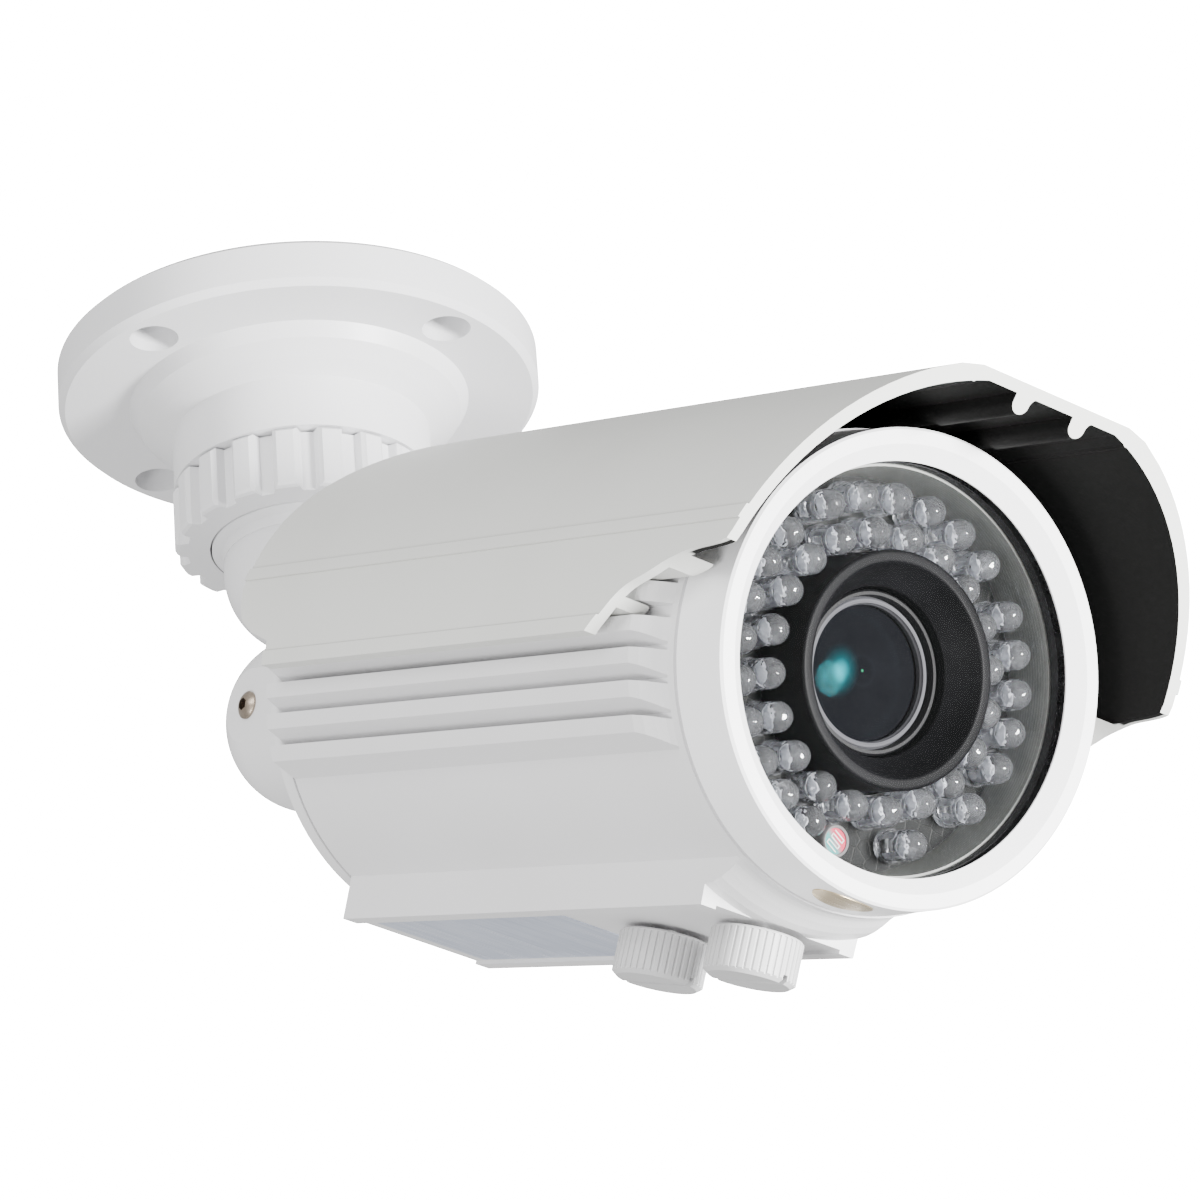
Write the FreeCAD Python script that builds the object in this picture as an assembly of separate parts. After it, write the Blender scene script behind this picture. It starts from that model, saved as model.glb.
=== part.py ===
import FreeCAD, Part
import math
import os

# Infrared bullet camera on a ceiling bracket with pan, tilt and roll.
# Bracket pieces are drawn in the row frame: +Z up, origin at the centre of the flange's top face.
# Camera pieces are drawn in a camera frame: X sideways, Z up, Y backwards along the lens axis,
# with the origin at the centre of the front ring. place_camera() turns that frame into the row.
V = FreeCAD.Vector

# ---- driving dimensions, millimetres and degrees ----
PIVOT_DROP = 74.2          # ceiling to the tilt axis
PIVOT_REACH = 169.4        # front ring to the tilt axis, along the lens axis
REST_PITCH = 20.76         # lens axis below the horizontal as stored
REST_ROLL = 4.55           # camera turned about its own axis as stored

FLANGE_R = 44.0
FLANGE_H = 9.2
FLANGE_SKIRT_R = 31.0      # root of the cone under the flange
NECK_R = 23.5
NECK_ROOT_Z = -15.6
NECK_END_Z = -26.4
SPIGOT_R = 19.8
SPIGOT_END_Z = -32.6
HOLE_CIRCLE_R = 37.0
HOLE_TURN = 11.0           # first screw hole, degrees from +X
HOLE_R = 2.6
COUNTERBORE_R = 4.4
COUNTERBORE_DEPTH = 5.7

RING_TOP_Z = -26.8
RING_BOTTOM_Z = -38.6
RING_CREST_R = 23.8
RING_ROOT_R = 21.5
RING_LOBES = 18
RING_LIP_R = 17.5

ARM_COLLAR_R = 19.2
ARM_NECK_R = 17.15
ARM_BALL_R = 15.2
ARM_BALL_Z = -43.8
TONGUE_HALF = 4.35
TONGUE_WIDTH = 15.0
PIVOT_PIN_R = 2.0

KNUCKLE_R = 16.1
KNUCKLE_FLAT_X = 14.6
KNUCKLE_FRONT_Y = 125.9
EAR_SLOT_HALF = 5.0

BODY_R = 37.8              # plain tube, also the floor of the side slots
BODY_BORE_R = 32.6
SEAM_Y = 11.0              # front cover against housing
SEAM_R = 38.0
COLLAR_R = 38.3            # turned front of the housing, before it flares
COLLAR_END_Y = 12.6
HOUSING_END_Y = 121.3
CAP_R = 38.0
CAP_FRONT_Y = 121.6
CAP_BACK_Y = 125.0
GLAND_Z = -23.6
SPIGOT_BORE_R = 35.25      # front cover's spigot in the housing
SPIGOT_BORE_END_Y = 16.2

KEEL_TOP_X = 16.3
KEEL_BOTTOM_X = 15.45
KEEL_Z = -41.74
KEEL_FRONT_Y = 20.8
FLARE_R = 41.5             # radius of the turned flare where the keel's front face starts
KEEL_RECESS = 0.6
KEEL_RAIL_W = 2.9

FIN_R = 41.2
FIN_PITCH = 4.95
FIN_TOP_Z = -3.05          # upper face of the highest fin
FIN_FACE_H = 2.4
FIN_ROOT_H = 3.9
FIN_COUNT = 4
RAIL_LOW_Z = -0.8
RAIL_HIGH_Z = 2.5
RAIL_X = 42.4

HOOD_R = 45.6
HOOD_WALL = 1.8
HOOD_FLAT_Z = 42.45
HOOD_SKIRT_Z = -6.7
HOOD_BACK_Y = 128.5
HOOD_RIB_X = 5.75
HOOD_RIB_TIP_Z = 38.2
HOOD_RIB_NOSE_Z = 37.8     # the ribs reach lower in front of the camera
HOOD_BAND_R = 46.0
HOOD_FRONT_Y = -5.7        # front rim on the lens axis; it leans forward going up
HOOD_LEAN = 0.37
HOOD_SCREW_Y = 58.0
HOOD_TRAVEL = 9.0          # shield slides this far both ways under its screw

RING_R = 37.5              # front ring, outer edge
LIP_R = 32.4
GLASS_Y = 2.45
GLASS_T = 1.5
GLASS_R = 34.1
BOARD_Y = 14.6
BOARD_R = 31.6
LED_R = 2.5
LED_FLANGE_R = 2.8
LED_DOME_Y = 8.5
LED_OUTER_R = 27.5
LED_INNER_R = 21.75
SHROUD_R = 18.8
SHROUD_FRONT_Y = 4.0

ZOOM_KNOB_Y = 49.9
FOCUS_KNOB_Y = 25.7
KNOB_R = 7.45
KNOB_TOP_Z = -42.2
KNOB_H = 7.5
SHAFT_R = 2.0
PINION_TEETH = 12
CROWN_TEETH = 48
GEAR_MODULE = 0.8
PINION_PITCH_R = PINION_TEETH * GEAR_MODULE / 2
TOOTH_H = 1.3
BARREL_R = 13.0
TUBE_IN_R = 13.35
TUBE_OUT_R = 14.2
LENS_RING_IN_R = 14.6
LENS_RING_OUT_R = 20.5
RUN_CLEARANCE = 0.06       # radial play of a shaft in its hole


# ---- small geometry helpers ----
def turned(points, axis):
    """Solid of revolution of a closed outline of (radius, position) about "y" or "z"."""
    if axis == "y":
        outline = [V(r, p, 0) for r, p in points]
        direction = V(0, 1, 0)
    else:
        outline = [V(r, 0, p) for r, p in points]
        direction = V(0, 0, 1)
    face = Part.Face(Part.makePolygon(outline + outline[:1]))
    return face.revolve(V(0, 0, 0), direction, 360)


def disc(radius, start, end, axis="y", x=0.0, y=0.0, z=0.0):
    """Cylinder between two positions along an axis, about a line through (x, y, z)."""
    length = end - start
    if axis == "x":
        return Part.makeCylinder(radius, length, V(start, y, z), V(1, 0, 0))
    if axis == "y":
        return Part.makeCylinder(radius, length, V(x, start, z), V(0, 1, 0))
    return Part.makeCylinder(radius, length, V(x, y, start), V(0, 0, 1))


def annulus(outer, inner, start, end, axis="y", x=0.0, y=0.0, z=0.0):
    return disc(outer, start, end, axis, x, y, z).cut(
        disc(inner, start - 1, end + 1, axis, x, y, z))


def block(x0, x1, y0, y1, z0, z1):
    return Part.makeBox(x1 - x0, y1 - y0, z1 - z0, V(x0, y0, z0))


def prism_x(points, half_width):
    """Outline of (y, z) points, as thick as the whole object across X."""
    outline = [V(-half_width, y, z) for y, z in points]
    face = Part.Face(Part.makePolygon(outline + outline[:1]))
    return face.extrude(V(2 * half_width, 0, 0))


def prism_y(points, start, end):
    """Outline of (x, z) points, extruded along the lens axis."""
    outline = [V(x, start, z) for x, z in points]
    face = Part.Face(Part.makePolygon(outline + outline[:1]))
    return face.extrude(V(0, end - start, 0))


def hexagon(across, start, end, axis, x=0.0, y=0.0, z=0.0):
    """Hexagonal prism, across its flats, standing like disc()."""
    radius = across / math.sqrt(3)
    corners = []
    for i in range(6):
        a = math.radians(60 * i + 30)
        u, w = radius * math.cos(a), radius * math.sin(a)
        if axis == "x":
            corners.append(V(start, y + u, z + w))
        elif axis == "y":
            corners.append(V(x + u, start, z + w))
        else:
            corners.append(V(x + u, y + w, start))
    step = {"x": V(1, 0, 0), "y": V(0, 1, 0), "z": V(0, 0, 1)}[axis]
    face = Part.Face(Part.makePolygon(corners + corners[:1]))
    return face.extrude(step * (end - start))


def both_sides(shape):
    return shape.fuse(shape.mirror(V(0, 0, 0), V(1, 0, 0)))


def spun(shape, degrees, axis="y"):
    direction = V(0, 1, 0) if axis == "y" else V(0, 0, 1)
    return shape.rotated(V(0, 0, 0), direction, degrees)


def group(shapes):
    return Part.makeCompound(shapes)


# ---- ceiling bracket, in the row frame ----
def base_flange():
    """Cast disc with a shallow hollow back, a coved neck and a spigot for the lock ring."""
    body = turned([
        (0, 0), (FLANGE_R - 1.0, 0), (FLANGE_R, -1.0), (FLANGE_R, 1.2 - FLANGE_H),
        (FLANGE_R - 1.2, -FLANGE_H), (FLANGE_SKIRT_R, -FLANGE_H),
        (FLANGE_SKIRT_R - 1.6, -FLANGE_H - 2.6), (NECK_R + 3.0, -FLANGE_H - 4.9),
        (NECK_R, NECK_ROOT_Z - 0.6), (NECK_R, NECK_END_Z), (SPIGOT_R, NECK_END_Z),
        (SPIGOT_R, SPIGOT_END_Z), (0, SPIGOT_END_Z)], "z")
    body = body.cut(disc(27.0, -5.0, 1, "z"))
    for i in range(4):
        angle = math.radians(HOLE_TURN + 90 * i)
        x, y = HOLE_CIRCLE_R * math.cos(angle), HOLE_CIRCLE_R * math.sin(angle)
        body = body.cut(disc(HOLE_R, -FLANGE_H - 1, 1, "z", x, y))
        body = body.cut(disc(COUNTERBORE_R, -FLANGE_H - 1, COUNTERBORE_DEPTH - FLANGE_H, "z", x, y))
    return body


def lock_ring():
    """Thumb nut: wide rounded lobes round the rim, an inward lip that lifts the arm's collar."""
    blank = turned([
        (SPIGOT_R + 0.3, RING_TOP_Z), (RING_CREST_R - 0.6, RING_TOP_Z),
        (RING_CREST_R, RING_TOP_Z - 0.6), (RING_CREST_R, RING_BOTTOM_Z + 0.8),
        (RING_CREST_R - 0.3, RING_BOTTOM_Z + 0.3), (RING_CREST_R - 0.9, RING_BOTTOM_Z),
        (RING_LIP_R, RING_BOTTOM_Z),
        (RING_LIP_R, RING_BOTTOM_Z + 2.2), (SPIGOT_R + 0.3, RING_BOTTOM_Z + 2.2)], "z")
    pitch = 2 * math.pi / RING_LOBES
    half_gap = 0.25 * pitch
    for i in range(RING_LOBES):
        a = math.radians(-133) + (i + 0.5) * pitch
        outer = RING_CREST_R + 2
        shoulder = RING_CREST_R - 0.7
        side = [(RING_ROOT_R, 0.62), (shoulder, 0.9), (shoulder + 0.45, 1.15), (outer, 2.0)]
        corners = [(r, a - k * half_gap) for r, k in side]
        corners += [(r, a + k * half_gap) for r, k in reversed(side)]
        outline = [V(r * math.cos(t), r * math.sin(t), RING_BOTTOM_Z - 1) for r, t in corners]
        flute = Part.Face(Part.makePolygon(outline + outline[:1])).extrude(V(0, 0, 14))
        blank = blank.cut(flute)
    return blank


def friction_washer():
    """Nylon ring between the spigot's end and the arm's collar."""
    return annulus(18.6, 13.0, SPIGOT_END_Z - 0.3, SPIGOT_END_Z, "z")


def swivel_arm():
    """Collar held by the lock ring, a ball-shaped elbow, and a flat tongue with an eye."""
    collar_top = SPIGOT_END_Z - 0.65
    collar_low = RING_BOTTOM_Z + 2.55
    trunk = turned([(0, collar_top), (ARM_COLLAR_R, collar_top), (ARM_COLLAR_R, collar_low),
                    (ARM_NECK_R, collar_low), (ARM_NECK_R, RING_BOTTOM_Z - 0.1),
                    (ARM_BALL_R + 0.5, RING_BOTTOM_Z - 0.9), (ARM_BALL_R - 0.1, RING_BOTTOM_Z - 2.6),
                    (0, RING_BOTTOM_Z - 2.6)], "z")
    ball = Part.makeSphere(ARM_BALL_R, V(0, 0, ARM_BALL_Z))
    ball = ball.common(block(-20, 20, -20, 20, -90, RING_BOTTOM_Z - 1.0))
    half = TONGUE_WIDTH / 2
    tongue = block(-TONGUE_HALF, TONGUE_HALF, -half, half, -PIVOT_DROP, ARM_BALL_Z)
    eye = disc(half, -TONGUE_HALF, TONGUE_HALF, "x", z=-PIVOT_DROP)
    pin_hole = disc(PIVOT_PIN_R + RUN_CLEARANCE, -10, 10, "x", z=-PIVOT_DROP)
    return trunk.fuse(ball).fuse(tongue).fuse(eye).cut(pin_hole)


# ---- knuckle behind the camera, in the camera frame before it rolls ----
def knuckle():
    """Round dome with two ears round the arm's tongue, flat on both sides."""
    y0 = PIVOT_REACH
    body = disc(KNUCKLE_R, KNUCKLE_FRONT_Y, y0).fuse(Part.makeSphere(KNUCKLE_R, V(0, y0, 0)))
    for side in (-1, 1):
        x0, x1 = sorted((side * KNUCKLE_FLAT_X, side * 20))
        body = body.cut(block(x0, x1, 133, 200, -20, 20))
    body = body.cut(block(-EAR_SLOT_HALF, EAR_SLOT_HALF, y0 - 8.4, 200, -8.4, 20))
    body = body.cut(disc(PIVOT_PIN_R, -20, 20, "x", y=y0))
    body = body.cut(hexagon(7.1, 11.6, 20, "x", y=y0))
    return body.cut(disc(3.0, KNUCKLE_FRONT_Y - 1, KNUCKLE_FRONT_Y + 14))


def pivot_screw():
    """Domed screw through both ears and the tongue; its head shows on one side."""
    y0 = PIVOT_REACH
    head = Part.makeSphere(3.6, V(-KNUCKLE_FLAT_X + 2.2, y0, 0))
    head = head.common(disc(2.5, -KNUCKLE_FLAT_X - 3, -KNUCKLE_FLAT_X, "x", y=y0))
    shank = disc(PIVOT_PIN_R, -KNUCKLE_FLAT_X, KNUCKLE_FLAT_X - 0.6, "x", y=y0)
    socket = hexagon(2.0, -KNUCKLE_FLAT_X - 3, -KNUCKLE_FLAT_X + 0.8, "x", y=y0)
    return head.fuse(shank).cut(socket)


def pivot_nut():
    y0 = PIVOT_REACH
    return hexagon(7.0, 11.6, 14.6, "x", y=y0).cut(disc(PIVOT_PIN_R, 10, 16, "x", y=y0))


def head_washers():
    """A thin washer on each side of the tongue, and one under the roll bolt's head."""
    inner = EAR_SLOT_HALF - 0.3
    left = annulus(6.5, PIVOT_PIN_R, -EAR_SLOT_HALF, -inner, "x", y=PIVOT_REACH)
    right = annulus(6.5, PIVOT_PIN_R, inner, EAR_SLOT_HALF, "x", y=PIVOT_REACH)
    return group([left, right, annulus(6.0, 3.0, 115.0, 115.7)])


def roll_bolt():
    """Bolt from inside the rear cap into the knuckle: the camera rolls about it."""
    head = hexagon(9.0, 111.0, 115.0, "y")
    return head.fuse(disc(3.0, 115.0, KNUCKLE_FRONT_Y + 13))


def knuckle_washer():
    """Nylon ring between the rear cap and the knuckle."""
    return annulus(14.5, 4.0, CAP_BACK_Y + 0.3, KNUCKLE_FRONT_Y)


# ---- housing ----
def keel_section(inset, top):
    """Outline of the keel across the lens axis; it narrows slightly downwards."""
    return [(-KEEL_TOP_X + inset, top), (KEEL_TOP_X - inset, top),
            (KEEL_BOTTOM_X - inset, KEEL_Z + inset), (-KEEL_BOTTOM_X + inset, KEEL_Z + inset)]


def side_fin(top):
    """One fin of the left side: flat above, sloping underneath, cut to the fin radius."""
    low = top - FIN_ROOT_H - 4
    edge = top - FIN_FACE_H
    crest = -math.sqrt(FIN_R ** 2 - edge ** 2)
    floor_z = top - FIN_ROOT_H
    floor = -math.sqrt(BODY_R ** 2 - floor_z ** 2)
    outline = [(-25, top), (-50, top), (-50, edge), (crest, edge), (floor, floor_z), (-25, low)]
    return prism_y(outline, SEAM_Y, HOUSING_END_Y).common(disc(FIN_R, 0, 140))


def main_housing():
    """Finned aluminium body with a flat keel below and a rail on each side for the shield."""
    body = disc(BODY_R, SEAM_Y, HOUSING_END_Y)
    keel = prism_y(keel_section(0, -20), SEAM_Y, HOUSING_END_Y)
    recess_x = KEEL_BOTTOM_X - KEEL_RAIL_W
    body = body.fuse(keel)
    rail_r = (RAIL_HIGH_Z - RAIL_LOW_Z) / 2
    rail = block(-RAIL_X + rail_r, -30, SEAM_Y, HOUSING_END_Y, RAIL_LOW_Z, RAIL_HIGH_Z)
    nose = disc(rail_r, SEAM_Y, HOUSING_END_Y, "y", x=-RAIL_X + rail_r, z=RAIL_LOW_Z + rail_r)
    side = rail.fuse(nose)
    for i in range(FIN_COUNT):
        side = side.fuse(side_fin(FIN_TOP_Z - i * FIN_PITCH))
    body = body.fuse(both_sides(side))
    body = body.cut(block(-recess_x, recess_x, 0, 140, KEEL_Z - 1, KEEL_Z + KEEL_RECESS))
    trim = turned([(0, 0), (COLLAR_R, 0), (COLLAR_R, COLLAR_END_Y), (38.75, 13.6), (39.7, 15.1),
                   (40.6, 16.9), (41.2, 18.8), (FLARE_R, KEEL_FRONT_Y), (60, KEEL_FRONT_Y),
                   (60, HOUSING_END_Y), (0, HOUSING_END_Y)], "y")
    collar = annulus(COLLAR_R, BODY_R - 1, SEAM_Y, COLLAR_END_Y)
    body = body.common(trim).fuse(collar)
    bore = disc(BODY_BORE_R, 0, 140).fuse(disc(SPIGOT_BORE_R, 0, SPIGOT_BORE_END_Y))
    cavity = prism_y(keel_section(3.2, -20), KEEL_FRONT_Y + 0.9, HOUSING_END_Y - 4.3)
    cavity = cavity.cut(block(-20, 20, 0, 140, KEEL_Z - 1, KEEL_Z + KEEL_RECESS + 1.7))
    body = body.cut(bore).cut(cavity)
    for x, z in screw_places():
        body = body.fuse(disc(3.2, 104.0, 117.9, x=x, z=z)).cut(disc(1.5, 103, 119, x=x, z=z))
    for y in (ZOOM_KNOB_Y, FOCUS_KNOB_Y):
        body = body.fuse(disc(4.4, KEEL_Z + KEEL_RECESS, -35.5, "z", 0, y))
        body = body.cut(disc(SHAFT_R + RUN_CLEARANCE, -50, -30, "z", 0, y))
        body = body.cut(disc(3.3, -37.4, -30, "z", 0, y))
    y = HOOD_SCREW_Y
    boss = block(-4.5, 4.5, y - 5, y + 5, 30, 36.5).cut(disc(BODY_BORE_R - 2.2, 50, 66))
    return body.fuse(boss).cut(disc(1.3, 28, 45, "z", 0, y))


def rear_cap():
    """Round plate that closes the housing, with a hub for the roll bolt and a cable hole."""
    plate = turned([(0, CAP_FRONT_Y), (CAP_R, CAP_FRONT_Y), (CAP_R, CAP_BACK_Y - 0.5),
                    (CAP_R - 0.5, CAP_BACK_Y), (0, CAP_BACK_Y)], "y")
    hub = disc(8.0, 116.0, CAP_FRONT_Y)
    spigot = annulus(BODY_BORE_R - 0.05, 29.8, 118.0, CAP_FRONT_Y)
    cap = plate.fuse(hub).fuse(spigot).cut(disc(3.0 + RUN_CLEARANCE, 100, 130))
    cap = cap.cut(disc(4.0, 110, 130, z=GLAND_Z))
    for x, z in screw_places():
        cap = cap.cut(disc(1.6, 110, 130, x=x, z=z)).cut(disc(3.0, 123.2, 130, x=x, z=z))
    return cap


def screw_places():
    """Centres of the four rear cap screws."""
    return [(sx * 21.2, sz * 21.2) for sx in (-1, 1) for sz in (-1, 1)]


def rear_cap_screws():
    screws = []
    for x, z in screw_places():
        head = disc(2.75, 123.25, 124.7, x=x, z=z).cut(hexagon(2.0, 124.0, 126, "y", x=x, z=z))
        screws.append(head.fuse(disc(1.5, 105.0, 123.25, x=x, z=z)))
    return group(screws)


def rear_gasket():
    return annulus(BODY_R - 0.9, BODY_BORE_R + 0.2, HOUSING_END_Y, CAP_FRONT_Y)


def cable_gland():
    """Short threaded gland in the rear cap; the cable is not part of this object."""
    z = GLAND_Z
    body = hexagon(10.0, CAP_BACK_Y, 129.0, "y", z=z).fuse(disc(3.9, 117.5, CAP_BACK_Y, z=z))
    body = body.fuse(disc(4.6, 129.0, 135.0, z=z))
    return body.cut(disc(3.0, 110, 140, z=z))


def gland_nut():
    return hexagon(9.4, 118.4, CAP_FRONT_Y, "y", z=GLAND_Z).cut(disc(3.9, 110, 130, z=GLAND_Z))


def gland_seal():
    """Rubber sleeve inside the gland that would grip a cable."""
    return annulus(3.0, 2.4, 124.0, 135.6, z=GLAND_Z)


def keel_label():
    """Blank foil plate in the keel's recess."""
    low = KEEL_Z + KEEL_RECESS - 0.15
    return block(-11.6, 11.6, 64.0, 117.5, low, KEEL_Z + KEEL_RECESS)


def sunshield_side():
    """Side view of the shield: leaning front, swept lower edge, rounded rear."""
    def rim_y(z):
        return HOOD_FRONT_Y - HOOD_LEAN * z
    back = HOOD_BACK_Y
    corner = 25.0
    swept = [(-8.4, 7.3), (-7.6, 5.9), (-3.6, 5.3), (0.7, 4.9), (4.0, 4.1), (7.0, 3.2), (10.4, 1.8),
             (15.9, -0.2), (19.2, -2.5), (21.4, -4.4), (23.2, -5.9), (25.0, HOOD_SKIRT_Z - 1)]
    curve = Part.BSplineCurve()
    curve.interpolate([V(-60, y, z) for y, z in swept[1:]])
    outline = [swept[1], swept[0], (rim_y(50.0), 50.0), (back - corner, 50.0)]
    turns = 10
    for i in range(turns + 1):
        a = math.radians(90 - 90.0 * i / turns)
        outline.append((back - corner + corner * math.cos(a), 17.45 + corner * math.sin(a)))
    outline += [(back, 8.0), (127.0, 4.2), (125.3, 1.7), (121.5, -0.6), (116.0, -2.4),
                (116.0, HOOD_SKIRT_Z - 1), swept[-1]]
    border = Part.makePolygon([V(-60, y, z) for y, z in outline])
    face = Part.Face(Part.Wire([curve.toShape()] + border.Edges))
    return face.extrude(V(120, 0, 0))


def hood_hollow(start, end):
    """Space under the shield: flat below the top, then two arcs that thin the wall downwards."""
    shift = 1.6
    arc_r = HOOD_R - HOOD_WALL - shift
    under = HOOD_FLAT_Z - HOOD_WALL
    right = disc(arc_r, start, end, x=shift).common(block(0, 60, start, end, -60, 60))
    lid = [(-14.2, under), (14.2, under), (15.6, under - 1.0), (60, under - 1.0), (60, -60),
           (-60, -60), (-60, under - 1.0), (-15.6, under - 1.0)]
    return both_sides(right).common(prism_y(lid, start, end))


def sunshield():
    """Extruded hood with a flat top, two ribs under it, and lips that ride the side rails."""
    start, end = -26.0, HOOD_BACK_Y + 2
    skirt = block(-60, 60, start, end, HOOD_SKIRT_Z, HOOD_FLAT_Z)
    crown = [(-15.0, HOOD_FLAT_Z), (15.0, HOOD_FLAT_Z), (18.9, HOOD_FLAT_Z - 0.95), (60, 20), (60, -60),
             (-60, -60), (-60, 20), (-18.9, HOOD_FLAT_Z - 0.95)]
    shell = disc(HOOD_R, start, end).common(skirt).common(prism_y(crown, start, end))
    for low, high in ((9.2, 11.4), (HOOD_SKIRT_Z, -4.3)):
        shell = shell.fuse(disc(HOOD_BAND_R, start, end).common(block(-60, 60, start, end, low, high)))
    shell = shell.cut(hood_hollow(start - 1, end + 1))
    tip_x = 39.4
    for low, high in ((RAIL_HIGH_Z + 0.4, RAIL_HIGH_Z + 1.9), (RAIL_LOW_Z - 1.9, RAIL_LOW_Z - 0.4)):
        lip = block(-HOOD_R + 1.0, -tip_x, start, end, low, high)
        tip = disc((high - low) / 2, start, end, "y", x=-tip_x, z=(high + low) / 2)
        shell = shell.fuse(both_sides(lip.fuse(tip)))
    rib_r = 1.55
    for y0, y1, low in ((start, -1.0, HOOD_RIB_NOSE_Z), (-1.0, end, HOOD_RIB_TIP_Z)):
        for x in (-HOOD_RIB_X, HOOD_RIB_X):
            shell = shell.fuse(block(x - rib_r, x + rib_r, y0, y1, low + rib_r, 41.5))
            shell = shell.fuse(disc(rib_r, y0, y1, "y", x=x, z=low + rib_r))
            root = [(x + rib_r - 0.1, 41.0), (x + rib_r + 1.1, 41.0), (x + rib_r + 0.3, 40.3),
                    (x + rib_r - 0.1, 39.4)]
            shell = shell.fuse(prism_y(root, y0, y1))
    shell = shell.common(sunshield_side())
    half = 1.3 + 0.45
    y0, y1 = HOOD_SCREW_Y - HOOD_TRAVEL - 0.5, HOOD_SCREW_Y + HOOD_TRAVEL + 0.5
    slot = block(-half, half, y0, y1, 38, 46)
    slot = slot.fuse(disc(half, 38, 46, "z", 0, y0)).fuse(disc(half, 38, 46, "z", 0, y1))
    return shell.cut(slot)


def shield_screw():
    """Button screw; with its wide head it clamps the shield to the housing through a slot."""
    y = HOOD_SCREW_Y
    seat = HOOD_FLAT_Z + 0.35
    head = disc(3.2, seat, seat + 1.7, "z", 0, y).cut(hexagon(2.0, seat + 0.7, 50, "z", 0, y))
    return head.fuse(disc(1.3, 31.5, seat, "z", 0, y))


def shield_spacer():
    """Collar under the shield that keeps it clear of the housing."""
    seat = annulus(2.9, 1.3, 36.9, HOOD_FLAT_Z - HOOD_WALL - 0.35, "z", 0, HOOD_SCREW_Y)
    return seat.cut(disc(BODY_R, 50, 66))


# ---- front window ----
def front_cover():
    """Front ring: tapering wall, chamfered lip over the glass, spigot into the housing."""
    return turned([
        (LIP_R, GLASS_Y - 0.05), (LIP_R, 2.1), (34.9, 0.0), (RING_R - 0.4, 0.0), (RING_R, 0.4),
        (SEAM_R, SEAM_Y - 0.4), (SEAM_R - 0.35, SEAM_Y), (35.2, SEAM_Y),
        (35.2, 15.8), (GLASS_R, 15.8), (GLASS_R, GLASS_Y - 0.05)], "y")


def front_glass():
    return disc(GLASS_R, GLASS_Y, GLASS_Y + GLASS_T)


def glass_seal():
    """Black rubber ring behind the glass."""
    y0 = GLASS_Y + GLASS_T
    return turned([(LIP_R - 0.1, y0), (GLASS_R, y0), (GLASS_R, y0 + 2.0), (LIP_R, y0 + 2.0),
                   (LIP_R - 0.1, y0 + 1.0)], "y")


def baffle_ring():
    """Turned grey sleeve round the lamps, coned towards the board."""
    y0 = GLASS_Y + GLASS_T + 2.0
    return turned([(31.9, y0), (GLASS_R, y0), (GLASS_R, BOARD_Y), (31.0, BOARD_Y)], "y")


def cover_seal():
    """Flat seal between the front cover's spigot and the step in the housing."""
    return annulus(SPIGOT_BORE_R, 33.0, 15.8, SPIGOT_BORE_END_Y)


def led_board():
    """Round black circuit board with a hole for the lens shroud."""
    return annulus(BOARD_R, SHROUD_R + 0.3, BOARD_Y, BOARD_Y + 1.6)


def led_angles():
    """Lamp angles of the outer row: runs of lamps with gaps at the screws and the sensor."""
    runs = [(55.0, 6, 14.26), (146.0, 9, 13.56), (297.7, 1, 0.0), (325.7, 1, 0.0), (343.6, 5, 13.1)]
    return [start + i * step for start, count, step in runs for i in range(count)]


def led(radius, angle):
    """Round 5 mm lamp: flange, straight body, domed end towards the glass."""
    a = math.radians(angle)
    x, z = radius * math.cos(a), radius * math.sin(a)
    flange = disc(LED_FLANGE_R, BOARD_Y - 1.0, BOARD_Y, x=x, z=z)
    body = disc(LED_R, LED_DOME_Y, BOARD_Y - 1.0, x=x, z=z)
    dome = Part.makeSphere(LED_R, V(x, LED_DOME_Y, z))
    return flange.fuse(body).fuse(dome)


def leds_outer():
    return group([led(LED_OUTER_R, a) for a in led_angles()])


def leds_inner():
    return group([led(LED_INNER_R, 18.0 * i) for i in range(20)])


def light_sensor():
    """Round photocell on the board, in the gap of the outer row."""
    z = -LED_OUTER_R
    return disc(2.6, 10.4, 12.6, x=-0.3, z=z).fuse(disc(1.2, 12.6, BOARD_Y, x=-0.3, z=z))


def lens_shroud():
    """Black tube that keeps lamp light out of the lens; its rim meets the glass."""
    return turned([(17.7, SHROUD_FRONT_Y), (SHROUD_R, SHROUD_FRONT_Y), (SHROUD_R, 18.6),
                   (15.0, 18.6), (15.0, 17.0), (13.45, 17.0), (13.45, 9.2)], "y")


# ---- lens ----
def lens_front_barrel():
    """Sliding black barrel that carries the front element; it moves as the lens zooms."""
    return turned([(12.2, 10.5), (BARREL_R - 0.3, 10.5), (BARREL_R, 10.8), (BARREL_R, 30.0),
                   (11.2, 30.0), (11.2, 13.0), (12.0, 13.0), (12.0, 12.2)], "y")


def lens_front_ring():
    """Pale retaining ring round the front element."""
    return turned([(10.75, 12.2), (11.0, 11.5), (11.6, 11.5), (12.0, 12.2), (12.0, 13.0),
                   (10.75, 13.0)], "y")


def lens_front_element():
    """Front glass, domed forwards."""
    dome_r = 34.0
    dome = Part.makeSphere(dome_r, V(0, 11.6 + dome_r, 0))
    return dome.common(disc(10.75, 11.0, 16.5))


def lens_inner_element():
    return disc(8.5, 22.0, 25.0).fuse(annulus(11.15, 8.5, 22.5, 24.5))


def lens_tube():
    """Fixed lens barrel in which the front barrel slides and on which the rings turn."""
    tube = annulus(TUBE_OUT_R, TUBE_IN_R, 19.0, 56.0)
    collar = annulus(18.0, TUBE_OUT_R, 37.2, 38.4)
    base = annulus(18.0, 9.0, 56.0, 58.0)
    return tube.fuse(collar).fuse(base)


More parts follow.
